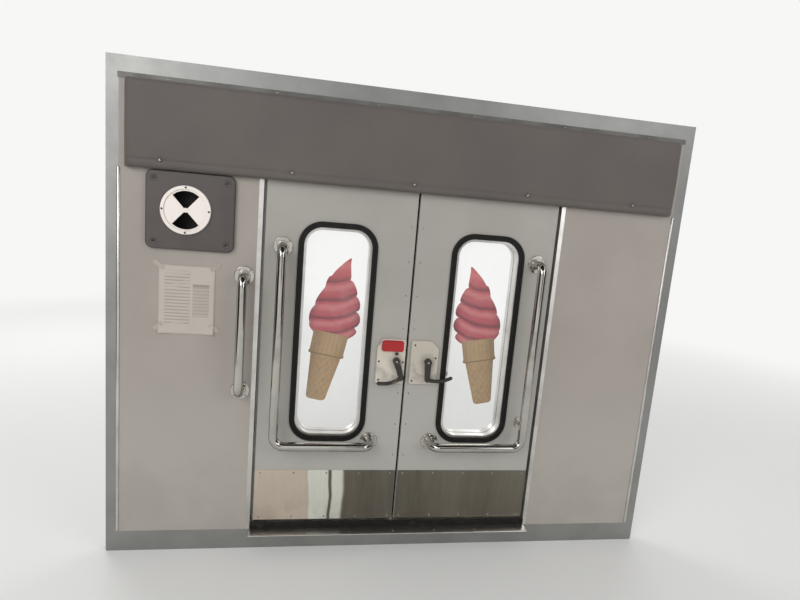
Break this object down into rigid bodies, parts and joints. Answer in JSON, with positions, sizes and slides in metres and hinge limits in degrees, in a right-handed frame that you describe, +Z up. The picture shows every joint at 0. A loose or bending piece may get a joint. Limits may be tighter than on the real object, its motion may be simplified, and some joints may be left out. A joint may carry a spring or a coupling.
{
  "type": "ambulance rear end wall with double doors",
  "caption": "Rear end wall of a box-bodied ambulance with a pair of windowed outward-opening doors, grab rails, latches, header pad, extract vent and rear lamps.",
  "frame": {"origin": "middle of the sill rail's flat underside, where the wall sits on the floor frame", "axes": "+X to the right as seen from inside the compartment, +Y out behind the vehicle, +Z up"},
  "size_m": [2.44, 0.208, 2],
  "materials": {
    "frame_aluminium": "satin mill finish",
    "outer_paint": "gloss enamel",
    "lining_laminate": "warm grey laminate",
    "pad_vinyl": "grained vinyl",
    "black_rubber": "matte",
    "polished_steel": "polished stainless",
    "bright_aluminium": "bright",
    "glass": "clear tempered",
    "cream_plastic": "aged",
    "black_handle": "satin black",
    "red_tab": "gloss",
    "white_plastic": "satin",
    "vent_trim": "dark grey",
    "red_lens": "clear red",
    "clear_lens": "clear",
    "tread_plate": "patterned"
  },
  "bodies": {
    "wall": {"clear_lenses": "clear_lens", "corner_guards": "tread_plate", "corner_post_left": "outer_paint", "corner_post_right": "outer_paint", "door_frame": "frame_aluminium", "door_seal": "black_rubber", "drip_rail": "outer_paint", "header_pad": "pad_vinyl", "hinge_frame_left": "polished_steel", "hinge_frame_right": "polished_steel", "hold_open_catches": "black_rubber", "lamp_bezels": "polished_steel", "lining_left": "lining_laminate", "lining_right": "lining_laminate", "outer_skin": "outer_paint", "red_lenses": "red_lens", "roof_rail": "outer_paint", "sill_rail": "frame_aluminium", "threshold": "bright_aluminium", "vent_bezel": "white_plastic", "vent_cowl": "outer_paint", "vent_duct": "black_handle", "vent_plate": "vent_trim", "wall_grab_bar": "polished_steel"},
    "door_left": {"leaf_pan_left": "outer_paint", "lock_block_left": "outer_paint", "leaf_lining_left": "lining_laminate", "kick_plate_left": "polished_steel", "window_rubber_left": "black_rubber", "window_surround_left": "bright_aluminium", "window_glass_left": "glass", "door_rail_left": "polished_steel", "latch_plate_left": "cream_plastic", "handle_dish_left": "polished_steel", "hinge_leaf_left": "polished_steel", "plunger_left": "polished_steel", "red_tab": "red_tab"},
    "door_right": {"leaf_pan_right": "outer_paint", "lock_block_right": "outer_paint", "leaf_lining_right": "lining_laminate", "kick_plate_right": "polished_steel", "window_rubber_right": "black_rubber", "window_surround_right": "bright_aluminium", "window_glass_right": "glass", "door_rail_right": "polished_steel", "latch_plate_right": "cream_plastic", "handle_dish_right": "polished_steel", "hinge_leaf_right": "polished_steel", "plunger_right": "polished_steel", "meeting_seal": "black_rubber"},
    "lever_left": {"lever_left": "black_handle"},
    "lever_right": {"lever_right": "black_handle"},
    "paddle_left": {"paddle_left": "black_handle"},
    "paddle_right": {"paddle_right": "black_handle"},
    "vent_shutter": {"vent_shutter": "white_plastic"}
  },
  "joints": [
    {"name": "door_left_hinge", "type": "hinge", "parent": "wall", "child": "door_left", "pos_m": [-0.6505, 0.039, 0.88], "axis": [0, 0, 1], "range_deg": [0, 170]},
    {"name": "door_right_hinge", "type": "hinge", "parent": "wall", "child": "door_right", "pos_m": [0.6505, 0.039, 0.88], "axis": [0, 0, -1], "range_deg": [0, 170]},
    {"name": "lever_left_turn", "type": "hinge", "parent": "door_left", "child": "lever_left", "pos_m": [-0.045, -0.045, 0.878], "axis": [0, 1, 0], "range_deg": [0, 45], "stiffness_Nm_per_rad": 1.2, "springref_deg": -28.65},
    {"name": "lever_right_turn", "type": "hinge", "parent": "door_right", "child": "lever_right", "pos_m": [0.096, -0.045, 0.878], "axis": [0, -1, 0], "range_deg": [0, 45], "stiffness_Nm_per_rad": 1.2, "springref_deg": -28.65},
    {"name": "paddle_left_pull", "type": "hinge", "parent": "door_left", "child": "paddle_left", "pos_m": [-0.082, 0.03, 0.934], "axis": [1, 0, 0], "range_deg": [0, 35], "stiffness_Nm_per_rad": 1.2, "springref_deg": -22.92},
    {"name": "paddle_right_pull", "type": "hinge", "parent": "door_right", "child": "paddle_right", "pos_m": [0.082, 0.03, 0.934], "axis": [1, 0, 0], "range_deg": [0, 35], "stiffness_Nm_per_rad": 1.2, "springref_deg": -22.92},
    {"name": "vent_shutter_turn", "type": "hinge", "parent": "wall", "child": "vent_shutter", "pos_m": [-0.924, -0.059, 1.451], "axis": [0, 1, 0], "range_deg": [0, 90]}
  ]
}
